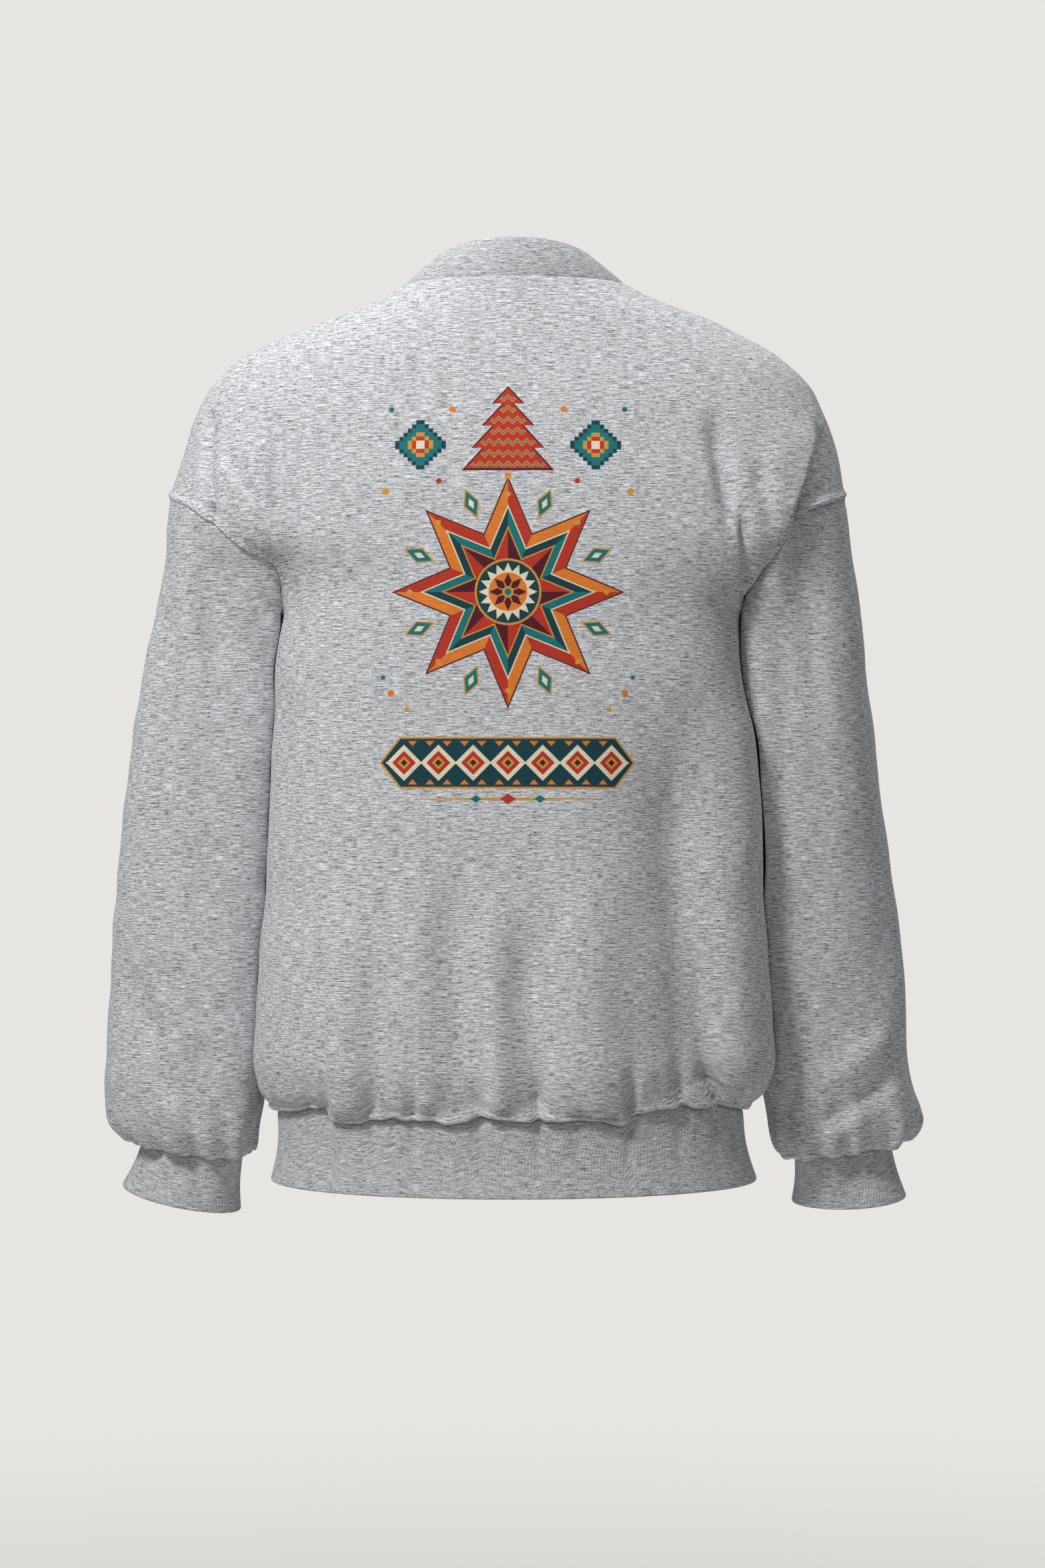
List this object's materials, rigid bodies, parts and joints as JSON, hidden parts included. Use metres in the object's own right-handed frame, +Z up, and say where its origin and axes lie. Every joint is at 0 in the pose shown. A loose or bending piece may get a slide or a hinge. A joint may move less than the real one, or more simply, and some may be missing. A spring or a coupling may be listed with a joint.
{
  "type": "crewneck sweatshirt",
  "caption": "Adult's crewneck sweatshirt of brushed fleece with ribbed neck, hem and cuffs, filled out as if worn, arms at the sides.",
  "frame": {"origin": "midway between the shoulder seams' high ends, level with them, where the garment hangs on the wearer's shoulders", "axes": "+Z up, the wearer faces -Y and the back with the print faces +Y, the wearer's left hand is at +X"},
  "size_m": [0.6232, 0.2648, 0.724],
  "materials": {
    "fleece": "heather grey jersey face, brushed inside",
    "rib": "heather grey rib knit"
  },
  "bodies": {
    "root": {"back_panel": "fleece", "front_panel": "fleece", "left_sleeve": "fleece", "right_sleeve": "fleece", "neck_rib": "rib", "hem_rib": "rib", "left_cuff": "rib", "right_cuff": "rib"}
  },
  "joints": []
}
